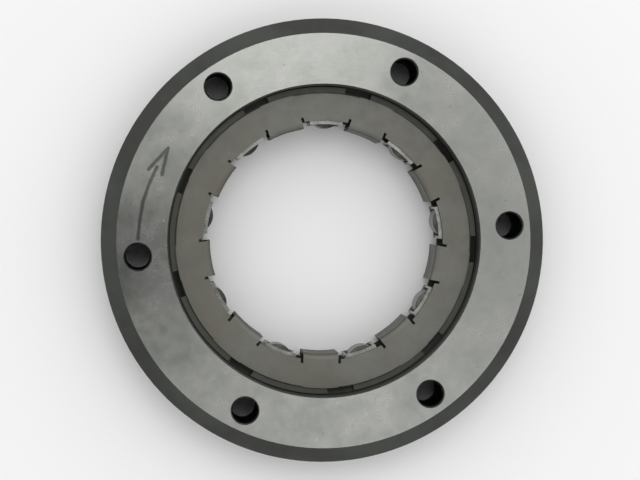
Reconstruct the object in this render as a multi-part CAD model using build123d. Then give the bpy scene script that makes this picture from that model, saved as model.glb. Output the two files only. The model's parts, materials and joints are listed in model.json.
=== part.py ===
from build123d import *
import math
import os

# One-way sprag clutch. The axis is Z, the back face of the outer race lies on z = 0 and the
# front face looks up. The hub that runs inside the sprags is not part of the clutch.
# Seen from the front the clutch locks when the hub turns clockwise inside the outer race.

# ---- Driving dimensions, millimetres and degrees ----
hub_d = 57.76              # hub that the sprags grip
sprag_section = 8.33       # radial space between the hub and the raceway
sprag_count = 9
sprag_angle = 4.0          # where the first sprag touches the hub, from +X
cam_offset = 1.2           # distance between the two cam centres of a sprag
lean_angle = 106.5         # turn from the inward direction to the line that joins the cam centres
sprag_waist = 6.0          # width across the waist of a sprag
waist_r = 4.0              # hollow on each side of a sprag
foot_bevel = 0.9           # at both ends of the foot cam
raceway_gap = 0.04         # free running sprag to raceway
hub_gap = 0.05             # free running sprag to hub

race_d = 114.0
race_width = 18.0
front_chamfer = 4.0
back_chamfer = 1.0
shoulder_width = 2.54      # raceway to recess wall
recess_depth = 5.7
recess_chamfer = 0.4
relief_width = 1.35        # relief groove in the corner of the recess
relief_depth = 1.2
raceway_lead_in = 0.5

bolt_circle_d = 95.5
bolt_count = 6
tap_drill_d = 6.8          # M8
tap_chamfer = 0.3

sheet = 0.8                # both cages and the back ring
outer_bend = 0.6           # bevel on the outer cage's bend
finger_bend = 1.4          # outside radius of a finger's bend
inner_bend = 0.4           # bevel inside a finger's bends
cage_shoulder_gap = 0.1    # under the flange of the outer cage
flange_side_gap = 0.25     # round the flange, in the recess
wall_gap = 0.51            # outer cage wall to raceway
window_side_gap = 0.25     # sprag to cage window
window_end_gap = 0.2
window_rim = 0.8           # rim of the outer cage behind its windows
notch_width = 6.8          # assembly notches in the flange
notch_depth = 1.6
notch_angle = 27.9         # from a sprag to the next notch
plate_overhang = 0.79      # front plate of the inner cage, past the raceway
plate_bevel = 0.2
mouth_depth = 2.02         # hub to plate and back ring, at the sprags
finger_gap = 0.27          # fingers to hub
finger_width = 9.0
finger_tip = 3.0           # radial reach of a finger's turned tip
bend_relief = 0.7          # slot beside the root of each finger
back_clearance = 0.3       # finger tips to the back plane of the race

spring_sheet = 0.45
spring_end_gap = 0.1       # springs to front plate and back ring
spring_lip_gap = 0.25      # spring to sprag foot
spring_lip = 0.6           # width of the lips beside the sprag foot
spring_bar_reach = 0.95    # how far the end bars stand into the mouth
spring_bar_seat = 0.3      # how far the end bars reach under the plate
spring_foot = 2.6          # length of the foot on the outer cage
spring_heel_angle = 10.5   # from the sprag contact to the heel of the foot
spring_seat_gap = 0.05

clip_count = 3
clip_sheet = 0.3
clip_height = 4.5
clip_length = 8.8
clip_bow_gap = 0.05        # top of the bow to raceway
clip_seat_gap = 0.02
clip_hook = 0.35           # hook behind the cage wall
clip_slot_gap = 0.1
clip_angle = 16.0          # from a sprag pivot to the middle of a clip


def half_width_at(radius, centre_r, round_r):
    """Half the width, at a radius from the axis, of a circle of round_r centred at centre_r."""
    x = (radius ** 2 + centre_r ** 2 - round_r ** 2) / (2 * centre_r)
    return math.sqrt(radius ** 2 - x ** 2)


# ---- Derived radii and heights ----
pitch = 360 / sprag_count
hub_r = hub_d / 2
raceway_r = hub_r + sprag_section
race_r = race_d / 2
recess_r = raceway_r + shoulder_width
mouth_r = hub_r + mouth_depth
plate_r = raceway_r + plate_overhang

outer_reach = raceway_r - raceway_gap
inner_reach = hub_r + hub_gap
lean_cos = math.cos(math.radians(lean_angle))
cam_r = (outer_reach ** 2 - inner_reach ** 2 + cam_offset ** 2 - 2 * outer_reach * cam_offset * lean_cos) / (
    2 * (outer_reach + inner_reach - cam_offset * lean_cos)
)
pivot_r = outer_reach - cam_r
foot_cam = Vector(cam_offset, 0).rotate(Axis.Z, 180 - lean_angle)
foot_cam_r = math.hypot(pivot_r + foot_cam.X, foot_cam.Y)
foot_lead = math.degrees(math.atan2(foot_cam.Y, pivot_r + foot_cam.X))
pivot_angle = sprag_angle - foot_lead

shoulder_z = race_width - recess_depth
flange_z = shoulder_z + cage_shoulder_gap
plate_z = flange_z + sheet
ring_z = back_clearance + sheet
wall_z = ring_z + sheet
flange_r = recess_r - flange_side_gap
wall_out_r = raceway_r - wall_gap
wall_in_r = wall_out_r - sheet
finger_in_r = hub_r + finger_gap

window_z = wall_z + window_rim
window_half = half_width_at(wall_in_r, pivot_r, cam_r + window_side_gap)
sprag_z = window_z + window_end_gap
sprag_length = flange_z - window_end_gap - sprag_z

spring_z = wall_z + spring_end_gap
spring_top_z = plate_z - spring_end_gap
bar_in_r = mouth_r - spring_bar_reach
bar_out_r = mouth_r + spring_bar_seat
lip_in_r = bar_in_r + spring_lip_gap
lip_out_r = lip_in_r + spring_sheet
lip_half = half_width_at(lip_out_r, foot_cam_r, cam_r + spring_lip_gap)
lip_start = math.degrees(math.asin(lip_half / lip_out_r))
lip_end = lip_start + math.degrees(spring_lip / lip_out_r)
foot_out_r = wall_in_r - spring_seat_gap
foot_mid_r = foot_out_r - spring_sheet / 2
foot_span = math.degrees(spring_foot / foot_mid_r)


def ring_section(points):
    """Face in the XZ plane from (radius, height) points."""
    return make_face(Plane.XZ * Polyline(*points, close=True))


def ring(inner, outer, bottom, top):
    corners = [(inner, bottom), (outer, bottom), (outer, top), (inner, top)]
    return revolve(ring_section(corners), Axis.Z)


def sector(inner, outer, bottom, top, start, end):
    """Piece of a ring between two angles."""
    corners = [(inner, bottom), (outer, bottom), (outer, top), (inner, top)]
    return Rot(0, 0, start) * revolve(ring_section(corners), Axis.Z, end - start)


def polar(radius, degrees):
    angle = math.radians(degrees)
    return Vector(radius * math.cos(angle), radius * math.sin(angle))


def radial_block(inner, outer, width, bottom, top, degrees=0):
    """Straight-sided block that lies along a radius."""
    centre = Pos((inner + outer) / 2, 0, (bottom + top) / 2)
    return Rot(0, 0, degrees) * centre * Box(outer - inner, width, top - bottom)


def spaced(shape, count, start=0.0):
    return [Rot(0, 0, start + 360 * k / count) * shape for k in range(count)]


def make_outer_race():
    profile = [
        (raceway_r + raceway_lead_in, 0),
        (race_r - back_chamfer, 0),
        (race_r, back_chamfer),
        (race_r, race_width - front_chamfer),
        (race_r - front_chamfer, race_width),
        (recess_r + recess_chamfer, race_width),
        (recess_r, race_width - recess_chamfer),
        (recess_r, shoulder_z - relief_depth),
        (recess_r - relief_width, shoulder_z - relief_depth),
        (recess_r - relief_width, shoulder_z),
        (raceway_r + raceway_lead_in, shoulder_z),
        (raceway_r, shoulder_z - raceway_lead_in),
        (raceway_r, raceway_lead_in),
    ]
    race = revolve(ring_section(profile), Axis.Z)
    tap_r = tap_drill_d / 2
    mouth = tap_r + tap_chamfer
    hole_profile = [
        (0, 0),
        (tap_r, 0),
        (tap_r, race_width - tap_chamfer),
        (mouth, race_width),
        (0, race_width),
    ]
    hole = Pos(bolt_circle_d / 2, 0, 0) * revolve(ring_section(hole_profile), Axis.Z)
    return race - spaced(hole, bolt_count)


def make_outer_cage():
    """Flanged sleeve: the flange sits on the race's shoulder and the wall spaces the sprags."""
    top = plate_z
    section = ring_section([
        (wall_in_r, wall_z),
        (wall_out_r, wall_z),
        (wall_out_r, flange_z),
        (flange_r, flange_z),
        (flange_r, top),
        (wall_in_r, top),
    ])
    bend = section.vertices().sort_by_distance((wall_in_r, 0, top))[0]
    cage = revolve(chamfer(bend, outer_bend), Axis.Z)

    window = radial_block(pivot_r, race_r, 2 * window_half, window_z, flange_z)
    cage -= spaced(window, sprag_count, pivot_angle)

    notch = radial_block(flange_r - notch_depth, race_r, notch_width, flange_z - sheet, top + sheet)
    cage -= spaced(notch, sprag_count, sprag_angle + notch_angle)

    slot_z = (window_z + flange_z) / 2 - clip_height / 2 - clip_slot_gap
    slot_top = slot_z + clip_height + 2 * clip_slot_gap
    slot_width = clip_sheet + 2 * clip_slot_gap
    for side in (-1, 1):
        turn = pivot_angle + clip_angle + side * clip_half_angle()
        slot = radial_block(pivot_r, raceway_r, slot_width, slot_z, slot_top)
        cage -= spaced(slot, clip_count, turn)
    return cage


def clip_half_angle():
    return math.degrees(clip_length / 2 / wall_out_r)


def make_inner_cage():
    """Front plate whose inner edge is bent back into one finger between each two sprags."""
    front = plate_z + sheet
    tip_r = finger_in_r + finger_tip
    finger_section = ring_section([
        (plate_r, plate_z),
        (plate_r, front),
        (finger_in_r, front),
        (finger_in_r, back_clearance),
        (tip_r, back_clearance),
        (tip_r, ring_z),
        (finger_in_r + sheet + inner_bend, ring_z),
        (finger_in_r + sheet, ring_z + inner_bend),
        (finger_in_r + sheet, plate_z - inner_bend),
        (finger_in_r + sheet + inner_bend, plate_z),
    ])
    front_bend = finger_section.vertices().sort_by_distance((finger_in_r, 0, front))[0]
    finger_section = fillet(front_bend, finger_bend)
    tip_bend = finger_section.vertices().sort_by_distance((finger_in_r, 0, back_clearance))[0]
    finger_section = chamfer(tip_bend, finger_bend / 2)
    wrapped = revolve(finger_section, Axis.Z)
    bars = spaced(radial_block(0, plate_r, finger_width, 0, race_width), sprag_count, sprag_angle + pitch / 2)
    fingers = [wrapped & bar for bar in bars]

    plate = ring(mouth_r, plate_r, plate_z, front)
    rim = plate.edges().filter_by(GeomType.CIRCLE).sort_by(lambda edge: edge.radius)[-2:]
    plate = chamfer(rim.sort_by(Axis.Z)[-1], plate_bevel)
    outside = radial_block(0, mouth_r + bend_relief, finger_width + 2 * bend_relief, 0, race_width)
    inside = radial_block(0, race_r, finger_width, 0, race_width)
    plate -= spaced(outside - inside, sprag_count, sprag_angle + pitch / 2)
    return plate + fingers


def make_cage_back_ring():
    return ring(mouth_r, wall_out_r, ring_z, wall_z)


def make_sprag():
    """Two cams about two centres, the outer one about the pivot, with a hollow on each side."""
    across = 4 * cam_r
    middle = Vector(foot_cam.X / 2, foot_cam.Y / 2, sprag_length / 2)
    half_block = Box(across, across, 2 * sprag_length)
    head_cam = Pos(0, 0, middle.Z) * Cylinder(cam_r, sprag_length)
    head_cam &= Pos(middle.X + across / 2, 0, middle.Z) * half_block
    bevelled_r = cam_r - foot_bevel
    foot_section = ring_section([
        (0, 0),
        (bevelled_r, 0),
        (cam_r, foot_bevel),
        (cam_r, sprag_length - foot_bevel),
        (bevelled_r, sprag_length),
        (0, sprag_length),
    ])
    foot = Pos(foot_cam.X, foot_cam.Y) * revolve(foot_section, Axis.Z)
    foot &= Pos(middle.X - across / 2, 0, middle.Z) * half_block
    sprag = head_cam + foot
    hollow = Cylinder(waist_r, 2 * sprag_length)
    for side in (-1, 1):
        sprag -= Pos(middle.X, middle.Y + side * (sprag_waist / 2 + waist_r), middle.Z) * hollow
    return Rot(0, 0, pivot_angle) * Pos(pivot_r, 0, sprag_z) * sprag


def make_sprag_spring():
    """Frame round the sprag's foot, with one leg back to a foot on the outer cage."""
    turn = sprag_angle
    bar_top = spring_top_z - spring_sheet
    bar_bottom = spring_z + spring_sheet
    bars = [
        sector(bar_in_r, bar_out_r, bar_top, spring_top_z, turn - lip_end, turn + lip_end),
        sector(bar_in_r, bar_out_r, spring_z, bar_bottom, turn - lip_end, turn + lip_end),
    ]
    lips = [
        sector(lip_in_r, lip_out_r, spring_z, spring_top_z, turn - lip_end, turn - lip_start),
        sector(lip_in_r, lip_out_r, spring_z, spring_top_z, turn + lip_start, turn + lip_end),
    ]
    heel = turn - spring_heel_angle
    foot = sector(foot_out_r - spring_sheet, foot_out_r, spring_z, spring_top_z, heel - foot_span, heel)
    lip_root = polar((lip_in_r + lip_out_r) / 2, turn - lip_end + math.degrees(spring_sheet / 2 / lip_out_r))
    foot_root = polar(foot_mid_r, heel - math.degrees(spring_sheet / 2 / foot_mid_r))
    run = (foot_root - lip_root).normalized()
    half = run.rotate(Axis.Z, 90) * (spring_sheet / 2)
    outline = [lip_root + half, foot_root + half, foot_root - half, lip_root - half]
    leg = extrude(make_face(Polyline(*outline, close=True)), spring_top_z - spring_z)
    return bars[0] + [bars[1], *lips, foot, Pos(0, 0, spring_z) * leg]


def make_drag_clip():
    """Thin bowed strip hooked into the outer cage, so that the raceway drags the cage along."""
    half_angle = clip_half_angle()
    end_r = wall_out_r + clip_seat_gap
    top_r = raceway_r - clip_bow_gap
    inner = ThreePointArc(polar(end_r, -half_angle), polar(top_r - clip_sheet, 0), polar(end_r, half_angle))
    outer = ThreePointArc(
        polar(end_r + clip_sheet, -half_angle), polar(top_r, 0), polar(end_r + clip_sheet, half_angle)
    )
    sides = [Line(inner @ 0, outer @ 0), Line(inner @ 1, outer @ 1)]
    bottom = (window_z + flange_z) / 2 - clip_height / 2
    clip = Pos(0, 0, bottom) * extrude(make_face([inner, outer, *sides]), clip_height)
    hook_r = wall_in_r - clip_hook
    hooks = [
        radial_block(hook_r, end_r + clip_sheet / 2, clip_sheet, bottom, bottom + clip_height, side * half_angle)
        for side in (-1, 1)
    ]
    return Rot(0, 0, pivot_angle + clip_angle) * (clip + hooks)


os.makedirs("parts", exist_ok=True)
export_step(make_outer_race(), "parts/outer_race.step")
export_step(make_outer_cage(), "parts/outer_cage.step")
export_step(make_inner_cage(), "parts/inner_cage.step")
export_step(make_cage_back_ring(), "parts/cage_back_ring.step")
for index, sprag in enumerate(spaced(make_sprag(), sprag_count), start=1):
    export_step(sprag, f"parts/sprag_{index}.step")
for index, spring in enumerate(spaced(make_sprag_spring(), sprag_count), start=1):
    export_step(spring, f"parts/sprag_spring_{index}.step")
for index, clip in enumerate(spaced(make_drag_clip(), clip_count), start=1):
    export_step(clip, f"parts/drag_clip_{index}.step")
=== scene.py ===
import json
import math

import bmesh
import bpy
from mathutils import Matrix, Vector


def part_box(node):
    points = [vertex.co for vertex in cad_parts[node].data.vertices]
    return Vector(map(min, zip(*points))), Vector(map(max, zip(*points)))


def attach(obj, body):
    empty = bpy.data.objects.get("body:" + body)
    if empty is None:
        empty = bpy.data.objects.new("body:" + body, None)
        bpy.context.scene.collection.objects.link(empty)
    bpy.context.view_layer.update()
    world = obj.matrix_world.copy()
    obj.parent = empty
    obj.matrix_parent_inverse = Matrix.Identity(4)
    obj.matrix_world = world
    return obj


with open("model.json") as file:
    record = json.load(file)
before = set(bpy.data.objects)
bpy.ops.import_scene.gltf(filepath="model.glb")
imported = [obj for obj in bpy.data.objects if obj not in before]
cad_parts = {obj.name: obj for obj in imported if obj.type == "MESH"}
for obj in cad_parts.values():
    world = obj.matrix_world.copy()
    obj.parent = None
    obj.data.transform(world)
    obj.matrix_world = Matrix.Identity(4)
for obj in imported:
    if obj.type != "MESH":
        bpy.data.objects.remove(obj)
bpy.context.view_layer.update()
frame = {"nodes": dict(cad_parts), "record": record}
nodes = frame["nodes"]
record = frame["record"]
MM = 0.001

# ---- Sizes read from the frame ----
face_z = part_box("outer_race")[1].z
mounts = {mount["name"]: mount for mount in record["mounts"]}
screws = mounts["race_screws"]["dims"]
bolt_circle_r = screws["pcd_mm"] / 2 * MM
bolt_count = screws["count"]
tap_r = screws["hole_r_mm"] * MM


# ---- Node helpers ----
class Surface:
    """A material under construction: small calls that add nodes and return sockets."""

    def __init__(self, name, metallic, roughness):
        self.material = bpy.data.materials.new(name)
        self.material.use_nodes = True
        self.tree = self.material.node_tree
        self.shader = self.tree.nodes["Principled BSDF"]
        self.shader.inputs["Metallic"].default_value = metallic
        self.shader.inputs["Roughness"].default_value = roughness
        self.place = self.tree.nodes.new("ShaderNodeTexCoord").outputs["Object"]

    def node(self, kind, inputs=None, **settings):
        made = self.tree.nodes.new(kind)
        for key, value in settings.items():
            setattr(made, key, value)
        for key, value in (inputs or {}).items():
            if isinstance(value, bpy.types.NodeSocket):
                self.tree.links.new(value, made.inputs[key])
            else:
                made.inputs[key].default_value = value
        return made

    def math(self, operation, first, second=0.0):
        return self.node("ShaderNodeMath", {0: first, 1: second}, operation=operation).outputs[0]

    def split(self, vector):
        return self.node("ShaderNodeSeparateXYZ", {0: vector}).outputs

    def radius(self):
        """Distance from the clutch axis."""
        x, y, _ = self.split(self.place)
        square = self.math("ADD", self.math("MULTIPLY", x, x), self.math("MULTIPLY", y, y))
        return self.math("SQRT", square)

    def height(self):
        return self.split(self.place)[2]

    def upward(self):
        """How far the surface faces along the axis, without sign: 1 on both end faces."""
        normal = self.node("ShaderNodeNewGeometry").outputs["Normal"]
        return self.math("ABSOLUTE", self.split(normal)[2])

    def noise(self, size_mm, detail=3.0, roughness=0.55, stretch=(1, 1, 1), offset=(0, 0, 0)):
        """Cloudy pattern with patches of about size_mm."""
        place = self.node("ShaderNodeMapping", {
            "Vector": self.place, "Scale": stretch, "Location": offset,
        })
        made = self.node("ShaderNodeTexNoise", {
            "Vector": place.outputs["Vector"],
            "Scale": 1 / (size_mm * MM),
            "Detail": detail,
            "Roughness": roughness,
        })
        return made.outputs["Fac"]

    def lines(self, along, pitch_mm, detail=2.0):
        """Fine lines across a coordinate, such as turning marks along the radius."""
        scaled = self.math("MULTIPLY", along, 1 / (pitch_mm * MM))
        made = self.node(
            "ShaderNodeTexNoise", {"W": scaled, "Scale": 1.0, "Detail": detail}, noise_dimensions="1D"
        )
        return made.outputs["Fac"]

    def stroke(self, x, y, start, end):
        """Distance in the plane from a straight stroke between two points."""
        along = (end[0] - start[0], end[1] - start[1])
        square = along[0] ** 2 + along[1] ** 2
        from_x = self.math("SUBTRACT", x, start[0])
        from_y = self.math("SUBTRACT", y, start[1])
        reach_x = self.math("MULTIPLY", from_x, along[0])
        reach_y = self.math("MULTIPLY", from_y, along[1])
        reach = self.math("ADD", reach_x, reach_y)
        share = self.ramp(reach, 0.0, square)
        off_x = self.math("SUBTRACT", from_x, self.math("MULTIPLY", share, along[0]))
        off_y = self.math("SUBTRACT", from_y, self.math("MULTIPLY", share, along[1]))
        square_x = self.math("MULTIPLY", off_x, off_x)
        square_y = self.math("MULTIPLY", off_y, off_y)
        return self.math("SQRT", self.math("ADD", square_x, square_y))

    def ramp(self, value, low, high, to_low=0.0, to_high=1.0):
        made = self.node("ShaderNodeMapRange", {
            "Value": value, "From Min": low, "From Max": high, "To Min": to_low, "To Max": to_high,
        })
        return made.outputs["Result"]

    def mix(self, factor, first, second):
        made = self.node(
            "ShaderNodeMix", {"Factor": factor, 6: colour(first), 7: colour(second)}, data_type="RGBA"
        )
        return made.outputs[2]

    def blend(self, factor, first, second):
        made = self.node("ShaderNodeMix", {"Factor": factor, 2: first, 3: second}, data_type="FLOAT")
        return made.outputs[0]

    def set(self, **sockets):
        for key, value in sockets.items():
            self.tree.links.new(value, self.shader.inputs[key.replace("_", " ")])

    def bump(self, height, depth_mm):
        made = self.node("ShaderNodeBump", {"Height": height, "Strength": 1.0, "Distance": depth_mm * MM})
        self.tree.links.new(made.outputs["Normal"], self.shader.inputs["Normal"])


def colour(value):
    return (*value, 1.0) if isinstance(value, tuple) and len(value) == 3 else value


# ---- Materials ----
def polar_mm(degrees, radius_mm):
    angle = math.radians(degrees)
    return (radius_mm * MM * math.cos(angle), radius_mm * MM * math.sin(angle))


# Turning arrow, as (degrees, radius in mm)
ARROW_SHAFT = ((174.6, 47.5), (168.9, 47.35), (162.9, 47.3), (157.5, 47.0), (151.4, 46.7))
ARROW_BARBS = ((153.1, 48.4), (153.1, 44.75))
ARROW_TIP = (144.6, 46.35)


def arrow_mask(s):
    """Etched turning arrow by one tapped hole: a curved shaft and two open strokes for the head."""
    shaft = [polar_mm(*point) for point in ARROW_SHAFT]
    tip = polar_mm(*ARROW_TIP)
    strokes = list(zip(shaft, shaft[1:])) + [(polar_mm(*barb), tip) for barb in ARROW_BARBS]
    x, y, _ = s.split(s.place)
    nearest = None
    for start, end in strokes:
        distance = s.stroke(x, y, start, end)
        nearest = distance if nearest is None else s.math("MINIMUM", nearest, distance)
    ragged = s.math("MULTIPLY", s.math("SUBTRACT", s.noise(0.7, detail=3.0), 0.5), 0.35 * MM)
    return s.ramp(s.math("ADD", nearest, ragged), 0.30 * MM, 0.55 * MM, 1.0, 0.0)


def race_material():
    """Ground end faces with soft grey-green clouds; dark turned rim, bevels, recess and raceway."""
    s = Surface("race_steel", 0.85, 0.42)
    r = s.radius()
    z = s.height()
    ground = s.ramp(s.upward(), 0.90, 0.97)
    half_width = face_z / 2
    from_middle = s.math("ABSOLUTE", s.math("SUBTRACT", z, half_width))
    on_end = s.ramp(from_middle, half_width - 0.3 * MM, half_width - 0.1 * MM)
    ground = s.math("MULTIPLY", ground, on_end)

    clouds = s.noise(16, detail=4.0)
    patches = s.noise(5, detail=5.0, roughness=0.65)
    grain = s.noise(0.6, detail=3.0, roughness=0.7)
    mottle = s.math("ADD", s.math("MULTIPLY", clouds, 0.55), s.math("MULTIPLY", patches, 0.45))
    face_colour = s.mix(s.ramp(mottle, 0.36, 0.64), (0.350, 0.367, 0.333), (0.455, 0.455, 0.436))
    face_colour = s.mix(s.ramp(grain, 0.35, 0.7, 0.0, 0.16), face_colour, (0.26, 0.27, 0.25))
    specks = s.noise(1.1, detail=1.0, offset=(0.3, 0.1, 0.0))
    face_colour = s.mix(s.ramp(specks, 0.74, 0.80, 0.0, 0.55), face_colour, (0.20, 0.205, 0.19))

    on_front = s.ramp(z, face_z - 1 * MM, face_z - 0.5 * MM)
    etched = s.math("MULTIPLY", s.math("MULTIPLY", arrow_mask(s), on_front), 0.8)
    face_colour = s.mix(etched, face_colour, (0.10, 0.105, 0.095))

    turned = s.lines(s.math("ADD", r, z), 0.35)
    dark_colour = s.mix(s.ramp(turned, 0.3, 0.7), (0.034, 0.036, 0.033), (0.056, 0.058, 0.053))
    stain = s.noise(22, detail=3.0)
    dark_colour = s.mix(s.ramp(stain, 0.42, 0.62, 0.0, 0.35), dark_colour, (0.095, 0.105, 0.090))

    s.set(
        Base_Color=s.mix(ground, dark_colour, face_colour),
        Roughness=s.blend(
            ground,
            s.ramp(turned, 0.3, 0.7, 0.34, 0.46),
            s.ramp(mottle, 0.35, 0.65, 0.22, 0.29),
        ),
        Metallic=s.blend(ground, 0.75, 0.97),
    )
    s.shader.inputs["Anisotropic"].default_value = 0.9
    s.shader.inputs["Anisotropic Rotation"].default_value = 0.25
    s.set(Tangent=s.node("ShaderNodeTangent", direction_type="RADIAL", axis="Z").outputs[0])
    lay = s.lines(r, 0.5)
    ground_relief = s.math("ADD", s.math("MULTIPLY", lay, 0.6), s.math("MULTIPLY", grain, 0.4))
    relief = s.blend(ground, turned, ground_relief)
    s.bump(relief, 0.006)
    return s.material


def cage_material():
    """Dull brown-grey pressed sheet with broad soft shades and a fine grain."""
    s = Surface("cage_sheet", 0.55, 0.5)
    broad = s.noise(26, detail=2.0)
    patches = s.noise(4, detail=4.0, roughness=0.6)
    grain = s.noise(0.35, detail=3.0, roughness=0.7)
    base = s.mix(s.ramp(broad, 0.38, 0.62), (0.136, 0.130, 0.105), (0.160, 0.160, 0.145))
    base = s.mix(s.ramp(patches, 0.4, 0.68, 0.0, 0.3), base, (0.112, 0.109, 0.092))
    base = s.mix(s.ramp(grain, 0.3, 0.7, 0.0, 0.25), base, (0.160, 0.156, 0.140))
    flange_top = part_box("outer_cage")[1].z
    # Painted shade: below the flange top the sheet is blended towards a dark tone, standing in for the
    # shade in the recess under the plate.
    recess_painted_shade = s.ramp(s.height(), flange_top + 0.1 * MM, flange_top + 0.3 * MM, 0.75, 0.0)
    base = s.mix(recess_painted_shade, base, (0.064, 0.069, 0.056))
    s.set(Base_Color=base, Roughness=s.ramp(patches, 0.35, 0.65, 0.46, 0.58))
    s.bump(grain, 0.008)
    return s.material


def sprag_material():
    """Polished steel with faint lines round the cams."""
    s = Surface("sprag_steel", 0.95, 0.28)
    marks = s.lines(s.height(), 0.25)
    tone = s.noise(3, detail=3.0)
    base = s.mix(s.ramp(tone, 0.35, 0.65), (0.085, 0.085, 0.08), (0.16, 0.16, 0.15))
    s.set(Base_Color=base, Roughness=s.ramp(marks, 0.3, 0.7, 0.24, 0.36))
    s.bump(marks, 0.003)
    return s.material


def spring_material():
    """Bright rolled strip."""
    s = Surface("spring_strip", 0.95, 0.25)
    tone = s.noise(2.5, detail=3.0)
    grain = s.noise(0.3, detail=2.0, stretch=(1, 1, 4))
    base = s.mix(s.ramp(tone, 0.35, 0.65), (0.24, 0.24, 0.225), (0.40, 0.40, 0.385))
    s.set(Base_Color=base, Roughness=s.ramp(grain, 0.3, 0.7, 0.22, 0.34))
    s.bump(grain, 0.003)
    return s.material


def thread_material():
    """Tapped threads coloured near black: painted shade for the inside of the deep holes."""
    s = Surface("thread_steel", 0.8, 0.4)
    tone = s.noise(1.0, detail=3.0)
    # Near-black colour: painted shade of the deep tapped holes.
    s.set(Base_Color=s.mix(s.ramp(tone, 0.35, 0.65), (0.008, 0.008, 0.010), (0.022, 0.022, 0.024)))
    s.bump(tone, 0.01)
    return s.material


by_slot = {
    "race_steel": race_material(),
    "cage_steel": cage_material(),
    "sprag_steel": sprag_material(),
    "spring_steel": spring_material(),
}
for part in record["subparts"]:
    mesh = nodes[part["node"]].data
    mesh.materials.clear()
    mesh.materials.append(by_slot[part["material_slot"]])


# ---- Pieces that only the looks need ----
def link(name, mesh, material, body="outer_race"):
    piece = bpy.data.objects.new(name, mesh)
    bpy.context.scene.collection.objects.link(piece)
    mesh.materials.append(material)
    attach(piece, body)
    return piece


def make_threads():
    """A helical ridge in each tapped hole, closed at both ends and sunk a little into the wall."""
    pitch = 1.25 * MM
    end_gap = 0.9 * MM
    corners = 3
    steps = 24
    crest = tap_r - 0.18 * MM
    root = tap_r + 0.02 * MM
    half_root = 0.46 * pitch
    profile = ((root, -half_root), (crest, 0.0), (root, half_root))
    low = end_gap + half_root
    turns = (face_z - 2 * low) / pitch
    count = int(turns * steps)
    material = thread_material()
    for hole in range(bolt_count):
        angle = math.tau * hole / bolt_count
        centre = Vector((bolt_circle_r * math.cos(angle), bolt_circle_r * math.sin(angle), 0))
        build = bmesh.new()
        rows = []
        for step in range(count + 1):
            turn = math.tau * step / steps
            outward = Vector((math.cos(turn), math.sin(turn), 0))
            height = low + pitch * step / steps
            rows.append([
                build.verts.new(centre + outward * r + Vector((0, 0, height + dz))) for r, dz in profile
            ])
        for row, after in zip(rows, rows[1:]):
            for k in range(corners):
                following = (k + 1) % corners
                build.faces.new((row[k], row[following], after[following], after[k]))
        build.faces.new(rows[0])
        build.faces.new(rows[-1])
        bmesh.ops.recalc_face_normals(build, faces=build.faces)
        mesh = bpy.data.meshes.new(f"thread_{hole + 1}")
        build.to_mesh(mesh)
        build.free()
        link(f"thread_{hole + 1}", mesh, material)


make_threads()


# ---- Floor, light and camera ----
def make_sheet(name, size):
    """A flat square in the scene, not yet staged."""
    mesh = bpy.data.meshes.new(name)
    build = bmesh.new()
    bmesh.ops.create_grid(build, x_segments=1, y_segments=1, size=size / 2)
    build.to_mesh(mesh)
    build.free()
    sheet = bpy.data.objects.new(name, mesh)
    bpy.context.scene.collection.objects.link(sheet)
    return sheet


def make_floor():
    floor = make_sheet("floor", 6.0)
    floor.location.z = -0.2 * MM
    s = Surface("floor_white", 0.0, 0.7)
    s.shader.inputs["Base Color"].default_value = (0.93, 0.93, 0.93, 1)
    floor.data.materials.append(s.material)


def make_card():
    """Dark card over the part: its soft reflection shades one side of the ground face."""
    card = make_sheet("card", 1.0)
    card.location = (-0.560, -0.022, 0.60)
    card.scale = (1.28, 0.145, 1)
    card.visible_camera = False
    s = Surface("card_dark", 0.0, 0.9)
    s.shader.inputs["Base Color"].default_value = (0.02, 0.02, 0.02, 1)
    card.data.materials.append(s.material)


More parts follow.
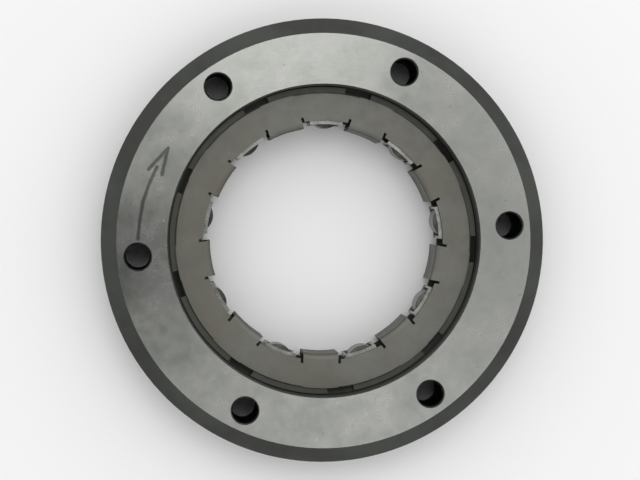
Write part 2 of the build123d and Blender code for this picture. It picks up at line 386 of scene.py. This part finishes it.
def make_light(name, place, size, power):
    data = bpy.data.lights.new(name, "AREA")
    data.shape = "DISK"
    data.size = size
    data.energy = power
    light = bpy.data.objects.new(name, data)
    bpy.context.scene.collection.objects.link(light)
    light.location = place
    light.rotation_euler = (-Vector(place)).to_track_quat("-Z", "Y").to_euler()


def make_world():
    """White surround, a little dimmer towards -Y."""
    falloff_range = {"From Min": -0.6, "From Max": 0.4, "To Min": 0.80, "To Max": 1.14}
    world = bpy.data.worlds.new("studio")
    bpy.context.scene.world = world
    world.use_nodes = True
    background = world.node_tree.nodes["Background"]
    background.inputs["Color"].default_value = (1, 1, 1, 1)
    tree = world.node_tree
    direction = tree.nodes.new("ShaderNodeTexCoord").outputs["Generated"]
    axes = tree.nodes.new("ShaderNodeSeparateXYZ")
    tree.links.new(direction, axes.inputs[0])
    falloff = tree.nodes.new("ShaderNodeMapRange")
    for socket, value in falloff_range.items():
        falloff.inputs[socket].default_value = value
    tree.links.new(axes.outputs[1], falloff.inputs["Value"])
    tree.links.new(falloff.outputs["Result"], background.inputs["Strength"])


def make_camera():
    """Nearly overhead. The view leans a few degrees and is rolled a little about the axis."""
    distance = 0.550
    lean = math.radians(4.75)
    lean_towards = math.radians(157.3)
    roll = math.radians(-4.7)
    aim_shift = (-1.25 * MM, 0.28 * MM)
    focal_mm = 121.3

    right = Vector((math.cos(roll), math.sin(roll), 0))
    up = Vector((-math.sin(roll), math.cos(roll), 0))
    aim = Vector((0, 0, face_z)) + right * aim_shift[0] + up * aim_shift[1]
    back = Vector((
        math.sin(lean) * math.cos(lean_towards),
        math.sin(lean) * math.sin(lean_towards),
        math.cos(lean),
    ))
    across = up.cross(back).normalized()
    above = back.cross(across)
    data = bpy.data.cameras.new("camera")
    data.lens = focal_mm
    data.sensor_width = 36
    data.clip_start = 0.01
    camera = bpy.data.objects.new("camera", data)
    bpy.context.scene.collection.objects.link(camera)
    turn = Matrix((across, above, back)).transposed().to_4x4()
    camera.matrix_world = Matrix.Translation(aim + back * distance) @ turn
    bpy.context.scene.camera = camera


make_floor()
make_card()
make_light("overhead", (0.05, 0.45, 1.2), 0.6, 1.4)
make_world()
make_camera()
bpy.context.scene.view_settings.view_transform = "Standard"
